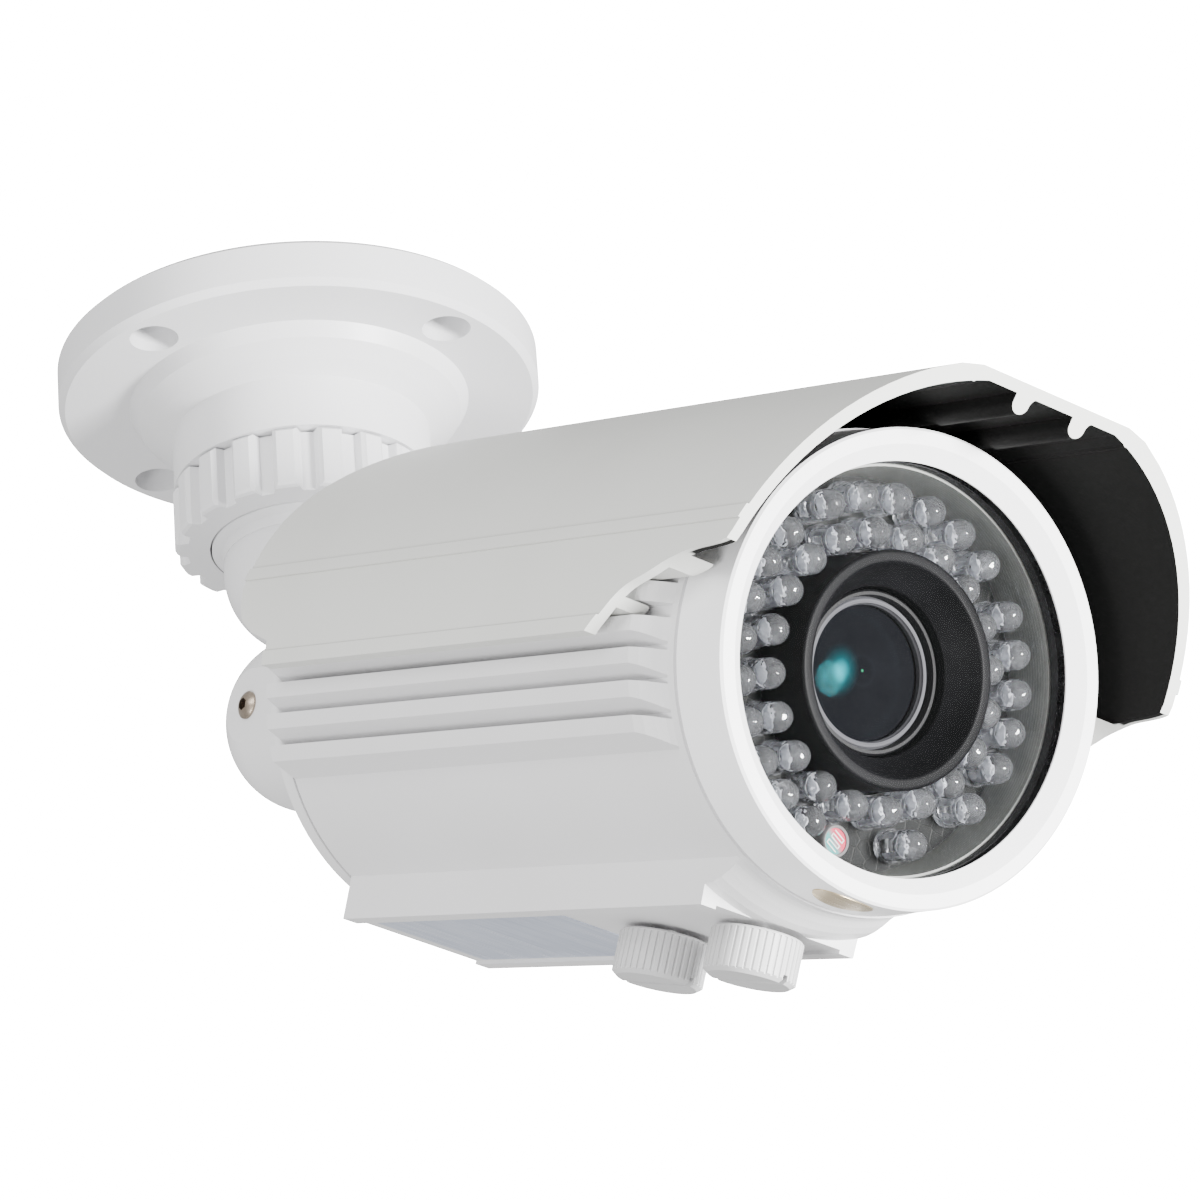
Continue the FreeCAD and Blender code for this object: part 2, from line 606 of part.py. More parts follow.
def crown_ring(back_y, front_y, tooth_root_y, tooth_side):
    """Lens ring with crown teeth standing out of one end face."""
    ring = annulus(LENS_RING_OUT_R, LENS_RING_IN_R, front_y, back_y)
    inner = LENS_RING_OUT_R - 3.0
    tip_y = tooth_root_y + tooth_side * TOOTH_H
    half_root = 0.23 * math.pi * GEAR_MODULE
    half_tip = 0.15 * math.pi * GEAR_MODULE
    outline = [V(-half_root, tooth_root_y - tooth_side * 0.3, -inner),
               V(half_root, tooth_root_y - tooth_side * 0.3, -inner),
               V(half_tip, tip_y, -inner), V(-half_tip, tip_y, -inner)]
    tooth = Part.Face(Part.makePolygon(outline + outline[:1])).extrude(V(0, 0, -3.0))
    teeth = [spun(tooth, 360.0 * i / CROWN_TEETH) for i in range(CROWN_TEETH)]
    return ring.fuse(teeth)


def focus_ring():
    face_y = FOCUS_KNOB_Y + PINION_PITCH_R + 0.8
    return crown_ring(36.9, face_y, face_y, -1)


def zoom_ring():
    face_y = ZOOM_KNOB_Y - PINION_PITCH_R - 0.8
    return crown_ring(face_y, 38.7, face_y, 1)


def lens_rear_cell():
    """Rear lens group that the focus ring moves."""
    cell = annulus(13.0, 9.0, 42.0, 52.0)
    return cell.fuse(annulus(9.0, 7.6, 44.0, 50.0))


def lens_rear_element():
    return disc(7.6, 45.0, 49.0)


# ---- knobs ----
def knob(y):
    """Ribbed thumb knob with a screwdriver slot underneath."""
    top, low = KNOB_TOP_Z, KNOB_TOP_Z - KNOB_H
    body = turned([(0, low), (KNOB_R - 0.9, low), (KNOB_R, low + 0.7), (KNOB_R, top - 0.3),
                   (KNOB_R - 0.3, top), (0, top)], "z")
    ribs = 40
    for i in range(ribs):
        a = 2 * math.pi * i / ribs
        groove = disc(0.28, low - 1, top - 0.4, "z", KNOB_R * math.cos(a), KNOB_R * math.sin(a))
        body = body.cut(groove)
    slot = block(-0.55, 0.55, -9, 9, low - 1, low + 1.3)
    slot.rotate(V(0, 0, 0), V(0, 0, 1), 14)
    body = body.cut(slot).cut(disc(SHAFT_R, top - 5, top + 1, "z"))
    body.translate(V(0, y, 0))
    return body


def knob_shaft(y, phase):
    """Knob shaft with a pinion at its upper end."""
    tooth_low = -LENS_RING_OUT_R
    tooth_high = tooth_low + 3.0
    root = PINION_PITCH_R - 0.75
    tip = PINION_PITCH_R + 0.5
    half_root = 0.24 * math.pi * GEAR_MODULE
    half_tip = 0.13 * math.pi * GEAR_MODULE
    outline = [V(root - 0.4, -half_root, tooth_low), V(root - 0.4, half_root, tooth_low),
               V(tip, half_tip, tooth_low), V(tip, -half_tip, tooth_low)]
    tooth = Part.Face(Part.makePolygon(outline + outline[:1])).extrude(V(0, 0, 3.0))
    teeth = [spun(tooth, phase + 360.0 * (i + 0.5) / PINION_TEETH, "z") for i in range(PINION_TEETH)]
    wheel = disc(root, tooth_low, tooth_high, "z").fuse(teeth)
    wheel = wheel.fuse(disc(SHAFT_R, KNOB_TOP_Z - 5, tooth_high, "z"))
    wheel.translate(V(0, y, 0))
    return wheel


def knob_clip(y):
    """Retaining clip on the shaft, above the boss in the keel."""
    return annulus(3.5, SHAFT_R, -35.1, -34.5, "z", 0, y)


def knob_seals():
    """Rubber rings round the two shafts, in the bosses."""
    return group([annulus(3.3, SHAFT_R + 0.08, -37.4, -35.8, "z", 0, y)
                  for y in (FOCUS_KNOB_Y, ZOOM_KNOB_Y)])


# ---- electronics ----
def lens_mount():
    """Plate across the bore that carries the lens and the filter unit."""
    plate = annulus(BODY_BORE_R, 8.0, 58.0, 59.6)
    return plate.cut(block(-30, 30, 50, 65, -40, -28)).cut(block(-30, 30, 50, 65, 28, 40))


def filter_frame():
    """Frame of the infrared-cut filter: a shallow box with a cradle for the coil."""
    tray = block(-19, 19, 59.6, 64.6, -10, 10)
    tray = tray.cut(block(-17.6, 17.6, 60.6, 63.9, -8.6, 8.6))
    cradle = block(-9, 9, 59.6, 65.6, 10, 17.6)
    return tray.fuse(cradle).cut(disc(6.5, 55, 70)).cut(disc(3.4, -20, 20, "x", y=66.2, z=14.0))


def filter_carrier():
    """Sliding carrier with two windows side by side."""
    plate = block(-12.6, 5.4, 61.0, 63.0, -6.5, 6.5)
    return plate.cut(block(-3.6, 3.6, 60, 64, -4.4, 4.4)).cut(block(-11.4, -5.0, 60, 64, -4.4, 4.4))


def filter_windows():
    """The filter glass and the clear glass."""
    return group([block(-3.6, 3.6, 61.4, 62.6, -4.4, 4.4), block(-11.4, -5.0, 61.4, 62.6, -4.4, 4.4)])


def filter_coil():
    """Small solenoid on the frame that throws the carrier over."""
    return disc(3.4, -8.0, 8.0, "x", y=66.2, z=14.0)


def sensor_board():
    board = block(-19, 19, 70.0, 71.6, -19, 19)
    for x, z in standoff_places():
        board = board.cut(disc(1.6, 69, 73, x=x, z=z))
    return board


def image_sensor():
    return block(-5.5, 5.5, 68.0, 70.0, -5.0, 5.0)


def standoff_places():
    return [(sx * 16.0, sz * 16.0) for sx in (-1, 1) for sz in (-1, 1)]


def board_standoffs():
    """Four hexagonal pillars from the lens mount through both boards."""
    pillars = []
    for x, z in standoff_places():
        front = hexagon(4.4, 59.6, 70.0, "y", x=x, z=z)
        middle = hexagon(4.4, 71.6, 82.0, "y", x=x, z=z)
        studs = disc(1.6, 70.0, 71.6, x=x, z=z).fuse(disc(1.6, 82.0, 85.0, x=x, z=z))
        pillars.append(front.fuse(middle).fuse(studs))
    return group(pillars)


def main_board():
    board = block(-19, 19, 82.0, 83.6, -19, 19)
    for x, z in standoff_places():
        board = board.cut(disc(1.6, 80, 85, x=x, z=z))
    return board


def board_chips():
    """Packages and capacitors on the back of the main board."""
    return group([block(-8, 6, 83.6, 85.2, -4, 10), block(8.5, 13, 83.6, 86.4, -12, -2),
                  disc(3.0, 83.6, 91.0, x=-11.5, z=-10.5), disc(2.5, 83.6, 89.0, x=-3.5, z=-11.5)])


def video_connector():
    return block(-13, -3, 83.6, 90.0, 13, 18)


def cover_skin(extra):
    """Outer cone of the front cover, thickened by a given amount."""
    return turned([(0, 0.4), (RING_R + extra, 0.4), (SEAM_R + extra, SEAM_Y - 0.4),
                   (0, SEAM_Y - 0.4)], "y")


def front_badge():
    """Small blank oval foil on the underside of the front cover."""
    oval = Part.Ellipse(V(0, 0, 0), 5.5, 3.4).toShape()
    column = Part.Face(Part.Wire([oval])).extrude(V(0, 0, 12))
    column.translate(V(-1.0, 4.7, -46))
    return column.common(cover_skin(0.15)).cut(cover_skin(0.0))


def board_pillars():
    """Three long pillars that carry the lamp board, in the gaps of the outer row."""
    pillars = []
    for angle in (45.5, 136.2, 311.7):
        a = math.radians(angle)
        x, z = LED_OUTER_R * math.cos(a), LED_OUTER_R * math.sin(a)
        pillars.append(disc(1.8, BOARD_Y + 1.6, 58.0, x=x, z=z))
    return group(pillars)


# ---- the object ----
def place_camera(shape, roll):
    """Carry a piece from the camera frame to the row frame."""
    moved = shape.translated(V(0, -PIVOT_REACH, 0))
    moved = moved.rotated(V(0, 0, 0), V(0, 1, 0), roll)
    moved = moved.rotated(V(0, 0, 0), V(1, 0, 0), REST_PITCH)
    return moved.translated(V(0, 0, -PIVOT_DROP))


bracket = {
    "base_flange": base_flange(),
    "friction_washer": friction_washer(),
    "lock_ring": lock_ring(),
    "swivel_arm": swivel_arm(),
}
tilting = {
    "knuckle": knuckle(),
    "pivot_screw": pivot_screw(),
    "pivot_nut": pivot_nut(),
    "head_washers": head_washers(),
    "roll_bolt": roll_bolt(),
    "knuckle_washer": knuckle_washer(),
}
camera = {
    "main_housing": main_housing(),
    "rear_cap": rear_cap(),
    "rear_cap_screws": rear_cap_screws(),
    "rear_gasket": rear_gasket(),
    "cable_gland": cable_gland(),
    "gland_nut": gland_nut(),
    "gland_seal": gland_seal(),
    "keel_label": keel_label(),
    "sunshield": sunshield(),
    "shield_screw": shield_screw(),
    "shield_spacer": shield_spacer(),
    "front_cover": front_cover(),
    "front_badge": front_badge(),
    "front_glass": front_glass(),
    "glass_seal": glass_seal(),
    "baffle_ring": baffle_ring(),
    "cover_seal": cover_seal(),
    "led_board": led_board(),
    "leds_outer": leds_outer(),
    "leds_inner": leds_inner(),
    "light_sensor": light_sensor(),
    "board_pillars": board_pillars(),
    "lens_shroud": lens_shroud(),
    "lens_front_barrel": lens_front_barrel(),
    "lens_front_ring": lens_front_ring(),
    "lens_front_element": lens_front_element(),
    "lens_inner_element": lens_inner_element(),
    "lens_tube": lens_tube(),
    "focus_ring": focus_ring(),
    "zoom_ring": zoom_ring(),
    "lens_rear_cell": lens_rear_cell(),
    "lens_rear_element": lens_rear_element(),
    "focus_knob": knob(FOCUS_KNOB_Y),
    "focus_shaft": knob_shaft(FOCUS_KNOB_Y, 90.0),
    "focus_clip": knob_clip(FOCUS_KNOB_Y),
    "zoom_knob": knob(ZOOM_KNOB_Y),
    "zoom_shaft": knob_shaft(ZOOM_KNOB_Y, -90.0),
    "zoom_clip": knob_clip(ZOOM_KNOB_Y),
    "knob_seals": knob_seals(),
    "lens_mount": lens_mount(),
    "filter_frame": filter_frame(),
    "filter_carrier": filter_carrier(),
    "filter_windows": filter_windows(),
    "filter_coil": filter_coil(),
    "sensor_board": sensor_board(),
    "image_sensor": image_sensor(),
    "board_standoffs": board_standoffs(),
    "main_board": main_board(),
    "board_chips": board_chips(),
    "video_connector": video_connector(),
}

os.makedirs("parts", exist_ok=True)
pieces = dict(bracket)
pieces.update({name: place_camera(shape, 0.0) for name, shape in tilting.items()})
pieces.update({name: place_camera(shape, REST_ROLL) for name, shape in camera.items()})
for name, shape in pieces.items():
    shape.exportStep("parts/" + name + ".step")
    box = shape.BoundBox
    print("%-20s solids %2d valid %s volume %10.1f  x %.1f..%.1f y %.1f..%.1f z %.1f..%.1f" % (
        name, len(shape.Solids), shape.isValid(), shape.Volume,
        box.XMin, box.XMax, box.YMin, box.YMax, box.ZMin, box.ZMax))
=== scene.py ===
import bmesh
import bpy
import math
from mathutils import Matrix, Vector


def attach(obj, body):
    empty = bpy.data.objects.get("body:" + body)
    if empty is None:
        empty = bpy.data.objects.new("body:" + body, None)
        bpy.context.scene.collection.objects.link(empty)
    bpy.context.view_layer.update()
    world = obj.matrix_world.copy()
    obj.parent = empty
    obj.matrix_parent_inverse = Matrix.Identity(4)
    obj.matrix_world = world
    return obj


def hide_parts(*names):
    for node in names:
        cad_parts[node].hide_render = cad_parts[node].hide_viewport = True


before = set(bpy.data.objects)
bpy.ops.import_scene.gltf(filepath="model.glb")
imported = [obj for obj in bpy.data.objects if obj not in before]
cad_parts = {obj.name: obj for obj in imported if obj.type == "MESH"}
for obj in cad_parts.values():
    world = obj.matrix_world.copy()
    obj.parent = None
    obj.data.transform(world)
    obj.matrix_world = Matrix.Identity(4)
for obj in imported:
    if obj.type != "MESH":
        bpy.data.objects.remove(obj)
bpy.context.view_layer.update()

# ---- paint on the castings and extrusions ----
# Powder coat over die-cast and extruded aluminium, satin, with a fine orange-peel skin.
# One cream paint is given a different lightness on each part, as painted light and shade: the front ring
# is painted lightest, for the light on its face, and the bracket and the extruded housing greyer.
BRACKET_WHITE = (0.67, 0.67, 0.68, 1)
BRACKET_DUSTY = (0.63, 0.63, 0.635, 1)
# Painted light: the ring's paint is set lighter than the housing's for the light that falls on its face.
RING_LIT_WHITE = (0.94, 0.94, 0.945, 1)
RING_LIT_DUSTY = (0.90, 0.90, 0.905, 1)
HOUSING_WHITE = (0.71, 0.708, 0.715, 1)
HOUSING_DUSTY = (0.67, 0.667, 0.668, 1)
ORANGE_PEEL = 0.00002


class Signal:
    """A socket of a material's node tree that can stand in an expression."""

    def __init__(self, tree, socket=None):
        self.tree, self.socket = tree, socket

    def node(self, kind, settings=None, inputs=None, output=0):
        """A new node: its settings first, then values or links for its sockets."""
        made = self.tree.nodes.new("ShaderNode" + kind)
        for key, value in (settings or {}).items():
            setattr(made, key, value)
        for key, value in (inputs or {}).items():
            if isinstance(value, Signal):
                self.tree.links.new(value.socket, made.inputs[key])
            else:
                made.inputs[key].default_value = value
        return Signal(self.tree, made.outputs[output])

    def maths(self, operation, *values):
        return self.node("Math", {"operation": operation}, dict(enumerate(values)))

    def __add__(self, other):
        return self.maths("ADD", self, other)

    __radd__ = __add__

    def __sub__(self, other):
        return self.maths("SUBTRACT", self, other)

    def __rsub__(self, other):
        return self.maths("SUBTRACT", other, self)

    def __mul__(self, other):
        return self.maths("MULTIPLY", self, other)

    __rmul__ = __mul__

    def __pow__(self, other):
        return self.maths("POWER", self, other)

    def step(self, low, high):
        """0 below low, 1 above high, smooth between."""
        return self.node("MapRange", {"interpolation_type": "SMOOTHSTEP"},
                         {"Value": self, "From Min": low, "From Max": high})

    def blend(self, first, second):
        """Colour that goes from first to second as this value goes from 0 to 1."""
        return self.node("Mix", {"data_type": "RGBA"}, {0: self, 6: first, 7: second}, 2)

    def part(self, index):
        """X, Y or Z of a vector."""
        return self.node("SeparateXYZ", None, {0: self}, index)


def finish(name, build, **fixed):
    """A material: build(place) returns what varies, fixed is even all over."""
    made = bpy.data.materials.new(name)
    made.use_nodes = True
    tree = made.node_tree
    shader = tree.nodes["Principled BSDF"]
    for key, value in fixed.items():
        shader.inputs[key.replace("_", " ")].default_value = value
    place = Signal(tree).node("TexCoord", None, None, 3)
    for key, value in build(place).items():
        tree.links.new(value.socket, shader.inputs[key.replace("_", " ")])
    return made


def noise(place, scale, detail):
    """Cloudy pattern: scale is its cells in a metre, detail its octaves."""
    return place.node("TexNoise", None, {"Vector": place, "Scale": scale, "Detail": detail})


def bump(height, depth):
    """Surface relief of height times depth, in metres."""
    return height.node("Bump", None, {"Height": height, "Distance": depth, "Strength": 1.0})


def dress(material, *names):
    """Gives CAD nodes a material."""
    for name in names:
        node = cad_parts[name]
        node.data.materials.clear()
        node.data.materials.append(material)


def powder_coat(clean, dusty):
    """Paint that clouds from clean to dusty over a fine orange peel."""
    def build(place):
        cloud = noise(place, 28, 3)
        skin = noise(place, 1500, 2)
        grit = noise(place, 5200, 1)
        return {"Base_Color": (cloud.step(0.38, 0.72) * 0.55).blend(clean, dusty),
                "Roughness": cloud * 0.10 + grit * 0.06 + 0.36,
                "Normal": bump(skin + grit * 0.35, ORANGE_PEEL)}
    return build


dress(finish("bracket_paint", powder_coat(BRACKET_WHITE, BRACKET_DUSTY), IOR=1.5,
             Coat_Weight=0.12, Coat_Roughness=0.3), "base_flange", "lock_ring", "swivel_arm")
dress(finish("front_ring_paint", powder_coat(RING_LIT_WHITE, RING_LIT_DUSTY), IOR=1.5,
             Coat_Weight=0.2, Coat_Roughness=0.25), "front_cover")
dress(finish("housing_paint", powder_coat(HOUSING_WHITE, HOUSING_DUSTY), IOR=1.5,
             Coat_Weight=0.1, Coat_Roughness=0.35), "knuckle", "main_housing", "rear_cap")

# ---- sunshield ----
# Extruded aluminium hood that slides on the housing's side rails. Sprayed white outside,
# on its cut rim and on its lips, and matt black inside so that it throws no light back.
PITCH = math.radians(20.76)
ROLL = math.radians(4.55)
REACH = 0.1694
DROP = 0.0742
to_row = (Matrix.Translation((0, 0, -DROP)) @ Matrix.Rotation(PITCH, 4, "X")
          @ Matrix.Rotation(ROLL, 4, "Y") @ Matrix.Translation((0, -REACH, 0)))
HOOD_OUTER_R = 0.0456
HOOD_TOP = 0.04245
SKIN_NEAR = 0.0005
LIP_TOP = 0.0046
LIP_BLUR = 0.0001
# Painted shade: the hood's paint is set greyer than the housing's.
HOOD_SHADED_WHITE = (0.64, 0.645, 0.618, 1)
HOOD_SHADED_DUSTY = (0.60, 0.603, 0.575, 1)
BLACK_SPRAY = (0.004, 0.0038, 0.0036, 1)


def along_camera(place):
    """Place in the camera's own frame: X sideways, Y back along the lens, Z up."""
    back = to_row.inverted()
    return place.node("Mapping", None, {
        "Vector": place, "Rotation": back.to_euler("XYZ"), "Location": back.to_translation()})


def along_camera_turn(direction):
    """A direction in the camera's own frame."""
    return direction.node("Mapping", {"vector_type": "VECTOR"}, {
        "Vector": direction, "Rotation": to_row.inverted().to_euler("XYZ")})


def hood_coat(place):
    local = along_camera(place)
    x, z = local.part(0), local.part(2)
    radius = (x * x + z * z) ** 0.5
    side_skin = radius.step(HOOD_OUTER_R - 2 * SKIN_NEAR, HOOD_OUTER_R - 1.4 * SKIN_NEAR)
    top_skin = z.step(HOOD_TOP - 1.6 * SKIN_NEAR, HOOD_TOP - SKIN_NEAR)
    lips = 1 - z.step(LIP_TOP - LIP_BLUR, LIP_TOP + LIP_BLUR)
    outside = side_skin.maths("MAXIMUM", side_skin, top_skin.maths("MAXIMUM", top_skin, lips))
    normal = along_camera_turn(place.node("TexCoord", None, None, 1))
    facing = (normal.part(1) * -1).step(0.55, 0.8)
    white = outside.maths("MAXIMUM", outside, facing)
    cloud = noise(place, 30, 3)
    skin = noise(place, 1500, 2)
    paint = (cloud.step(0.38, 0.72) * 0.5).blend(HOOD_SHADED_WHITE, HOOD_SHADED_DUSTY)
    return {"Base_Color": white.blend(BLACK_SPRAY, paint),
            "Roughness": white * -0.36 + cloud * 0.10 + 0.72,
            "Normal": bump(skin, ORANGE_PEEL)}


dress(finish("shield_paint", hood_coat, IOR=1.5, Specular_IOR_Level=0.15), "sunshield")

# ---- knobs ----
# Two ribbed aluminium thumb knobs under the keel, in the housing's paint set a shade greyer as painted
# shade, each on a steel shaft with a rubber ring and a clip.
dress(finish("knob_paint", powder_coat((0.56, 0.56, 0.565, 1), (0.50, 0.50, 0.495, 1)), IOR=1.5),
      "focus_knob", "zoom_knob")

# ---- steel fasteners ----
# Zinc-plated screws, nuts, washers, clips and shafts. The pivot screw's domed head has
# gone slightly brown.


def plated(tint):
    """Zinc plate: blotched, with fine scratches."""
    def build(place):
        blotch = noise(place, 420, 4)
        scratch = noise(place, 2600, 1)
        dull = tuple(0.7 * level for level in tint[:3]) + (1,)
        return {"Base_Color": blotch.step(0.35, 0.7).blend(tint, dull),
                "Roughness": blotch * 0.25 + scratch * 0.1 + 0.2,
                "Normal": bump(scratch, 0.00001)}
    return build


dress(finish("zinc_plate", plated((0.62, 0.62, 0.63, 1)), Metallic=1.0), "pivot_nut",
      "head_washers", "roll_bolt", "rear_cap_screws", "shield_screw", "focus_clip", "zoom_clip",
      "focus_shaft", "zoom_shaft", "board_pillars")
dress(finish("browned_steel", plated((0.36, 0.30, 0.24, 1)), Metallic=1.0), "pivot_screw")

# ---- rubber seals ----
# Moulded black rubber rings at the glass, the cover, the rear cap, the knobs and the gland.
# Each is pressed between two parts, so only a thin edge of it shows.


def rubber_skin(place):
    bloom = noise(place, 160, 3)
    grain = noise(place, 3200, 2)
    return {"Base_Color": bloom.step(0.4, 0.8).blend((0.010, 0.010, 0.011, 1),
                                                     (0.028, 0.028, 0.030, 1)),
            "Roughness": bloom * 0.2 + 0.5,
            "Normal": bump(grain, 0.00002)}


dress(finish("black_rubber", rubber_skin), "rear_gasket", "gland_seal", "glass_seal",
      "cover_seal", "knob_seals")

# ---- turned grey parts ----
# Aluminium turned on a lathe: the sleeve round the lamps, the plate that carries the lens
# and the darker ring round the front element. The tool leaves fine circular lines.


def turned_metal(light, dark, pitch):
    """Lathe lines at a pitch, in metres, about the lens axis."""
    def build(place):
        local = along_camera(place)
        x, y, z = local.part(0), local.part(1), local.part(2)
        radius = (x * x + z * z) ** 0.5
        turn = (radius + y) * (2 * math.pi / pitch)
        groove = turn.maths("SINE", turn)
        stain = noise(place, 90, 3)
        return {"Base_Color": (groove * 0.3 + stain * 0.7).blend(dark, light),
                "Roughness": stain * 0.2 + groove * 0.04 + 0.34,
                "Normal": bump(groove, 0.00001)}
    return build


dress(finish("turned_grey", turned_metal((0.34, 0.35, 0.335, 1), (0.22, 0.225, 0.215, 1), 0.0005),
             Metallic=0.35), "baffle_ring", "lens_mount")
dress(finish("turned_dark", turned_metal((0.10, 0.10, 0.108, 1), (0.07, 0.07, 0.077, 1), 0.0004),
             Specular_IOR_Level=0.05), "lens_front_ring")

# ---- black mouldings ----
# Matt black moulded plastic: the lens's barrels and rings, the filter frame and the
# cable gland.


def moulded_black(place):
    flow = noise(place, 60, 3)
    spark = noise(place, 2400, 2)
    return {"Base_Color": flow.step(0.3, 0.8).blend((0.002, 0.002, 0.0024, 1),
                                                    (0.006, 0.006, 0.007, 1)),
            "Roughness": flow * 0.15 + 0.42,
            "Normal": bump(spark, 0.00002)}


dress(finish("black_moulding", moulded_black, Specular_IOR_Level=0.25), "lens_front_barrel",
      "lens_tube", "focus_ring", "zoom_ring", "lens_rear_cell", "filter_frame", "filter_carrier",
      "cable_gland", "gland_nut", "shield_spacer")

# ---- lens shroud ----
# Matt black moulded tube round the lens that keeps the lamps' light out of it. Its rim
# is rounded and stands just behind the window; inside, it narrows to the lens.
SHROUD_R = 0.0188
SHROUD_RIM_Y = 0.0040
SHROUD_BACK_Y = 0.0186
FLOOR_FRONT_Y = 0.0170
FLOOR_HOLE_R = 0.0150
MOUTH_R = 0.01345
MOUTH_Y = 0.0092
FUNNEL = [(0.0162, 0.0059), (0.0146, 0.0079)]
RIM_ROUND = 0.0006
SHARP_TURN = 40


def spin_round(points, steps):
    """A turned piece: an outline of (radius, position) spun about the lens axis."""
    shape = bmesh.new()
    outline = [shape.verts.new((r, y, 0)) for r, y in points]
    for first, second in zip(outline, outline[1:]):
        shape.edges.new((first, second))
    bmesh.ops.spin(shape, geom=shape.verts[:] + shape.edges[:], cent=(0, 0, 0),
                   axis=(0, 1, 0), angle=2 * math.pi, steps=steps, use_merge=True)
    bmesh.ops.remove_doubles(shape, verts=shape.verts, dist=1e-7)
    bmesh.ops.recalc_face_normals(shape, faces=shape.faces)
    return shape


def keep(shape, name, material, body):
    """Turns a finished bmesh into an object at the origin that rides on a body."""
    mesh = bpy.data.meshes.new(name)
    shape.to_mesh(mesh)
    shape.free()
    mesh.materials.append(material)
    mesh.shade_smooth()
    mesh.set_sharp_from_angle(angle=math.radians(SHARP_TURN))
    made = bpy.data.objects.new(name, mesh)
    bpy.context.scene.collection.objects.link(made)
    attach(made, body)
    return made


def rounded_rim(centre_r, start, end, steps=5):
    """Points of a rounded edge of the rim, from one angle to another in degrees."""
    turns = [math.radians(start + (end - start) * i / steps) for i in range(steps + 1)]
    return [(centre_r + RIM_ROUND * math.cos(a), SHROUD_RIM_Y + RIM_ROUND - RIM_ROUND * math.sin(a))
            for a in turns]


outline = [(FLOOR_HOLE_R, SHROUD_BACK_Y), (SHROUD_R, SHROUD_BACK_Y)]
outline += rounded_rim(SHROUD_R - RIM_ROUND, 0, 90)
outline += rounded_rim(SHROUD_R - 2.6 * RIM_ROUND, 90, 150)
outline += FUNNEL + [(MOUTH_R, MOUTH_Y), (MOUTH_R, FLOOR_FRONT_Y), (FLOOR_HOLE_R, FLOOR_FRONT_Y),
                     (FLOOR_HOLE_R, SHROUD_BACK_Y)]
shroud = spin_round(outline, 96)
shroud.transform(to_row)
shroud_piece = keep(shroud, "lens_shroud_tube", finish(
    "matt_black", moulded_black, Specular_IOR_Level=0.1), "camera")
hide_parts("lens_shroud")

# ---- front glass ----
# Flat clear window, ground at its edge and held between the front ring's lip and a
# rubber ring.


def clear_window(place):
    film = noise(place, 45, 3)
    gloss = place.node("Fresnel", None, {"IOR": 1.45})
    return {"Alpha": gloss * 0.45, "Roughness": film * 0.03 + 0.01}


dress(finish("clear_window", clear_window, Base_Color=(0.02, 0.022, 0.022, 1)), "front_glass")

# ---- lens elements ----
# Ground and coated glass. The big front element is domed and dark. On it, a blue-green gleam on one side
# and a tiny green glint near the middle are painted reflections that glow as emission, and a faint ring
# round the glint is a painted reflection in its colour.
FRONT_LENS_R = 0.01075
FRONT_LENS_BACK_Y = 0.0165
DOME_TOP_Y = 0.0116
DOME_RADIUS = 0.034
DOME_RINGS = 16
PAINTED_GLEAM_X = -0.0050
PAINTED_GLEAM_Z = -0.0012
PAINTED_GLEAM_HALO_R = 0.0039
PAINTED_GLEAM_CORE_R = 0.0018
PAINTED_GLINT_X = -0.0012
PAINTED_GLINT_R = 0.0003
PAINTED_RING_R = 0.0024
PAINTED_RING_BLUR = 0.0002


def coated_glass(place):
    sheen = noise(place, 240, 2)
    return {"Base_Color": sheen.blend((0.004, 0.005, 0.009, 1), (0.010, 0.030, 0.038, 1)),
            "Roughness": sheen * 0.04 + 0.03}


dress(finish("coated_glass", coated_glass, IOR=1.7, Coat_Weight=1.0, Coat_Roughness=0.02),
      "lens_inner_element", "lens_rear_element", "filter_windows")


# Dark coating with painted reflections: a gleam and a glint that glow as emission, and a faint ring.
def front_coating_painted_gleam(place):
    local = along_camera(place)
    x, z = local.part(0), local.part(2)
    across, rise = x - PAINTED_GLEAM_X, z - PAINTED_GLEAM_Z
    side = (across * across + rise * rise * 0.6) ** 0.5
    glint = ((x - PAINTED_GLINT_X) * (x - PAINTED_GLINT_X) + z * z) ** 0.5
    painted_halo = (1 - side.step(0.0, PAINTED_GLEAM_HALO_R)) ** 1.4
    painted_core = 1 - side.step(0.0002, PAINTED_GLEAM_CORE_R)
    # Painted glint, and a faint painted reflection ring round it.
    spark = 1 - glint.step(0.4 * PAINTED_GLINT_R, PAINTED_GLINT_R)
    ring = glint.step(PAINTED_RING_R - PAINTED_RING_BLUR, PAINTED_RING_R) * (1 - glint.step(PAINTED_RING_R, PAINTED_RING_R + PAINTED_RING_BLUR))
    teal = painted_halo.blend((0, 0, 0, 1), (0.0, 0.28, 0.33, 1))
    cyan = painted_core.blend(teal, (0.03, 0.85, 1.0, 1))
    smear = noise(place, 160, 2)
    dark, bloom = (0.003, 0.003, 0.004, 1), (0.010, 0.011, 0.013, 1)
    return {"Base_Color": (smear * 0.5 + ring * 0.5).blend(dark, bloom),
            "Emission_Color": spark.blend(cyan, (0.05, 0.75, 0.35, 1)),
            "Roughness": smear * 0.03 + 0.02}


dome = []
for i in range(DOME_RINGS + 1):
    r = FRONT_LENS_R * i / DOME_RINGS
    dome.append((r, DOME_TOP_Y + DOME_RADIUS - math.sqrt(DOME_RADIUS ** 2 - r * r)))
front_lens = spin_round(dome + [(FRONT_LENS_R, FRONT_LENS_BACK_Y), (0, FRONT_LENS_BACK_Y)], 72)
front_lens.transform(to_row)
front_glass = keep(front_lens, "lens_front_glass", finish(
    "front_coating_painted_gleam", front_coating_painted_gleam, Emission_Strength=1.0, IOR=1.45, Specular_IOR_Level=0.02,
    Specular_Tint=(0.02, 0.60, 0.68, 1)), "focus_drive")
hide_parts("lens_front_element")

# ---- circuit boards ----
# Glass-fibre boards: a black one behind the lamps, green ones for the sensor and the
# processor. Tracks show through the solder mask as a faint relief.


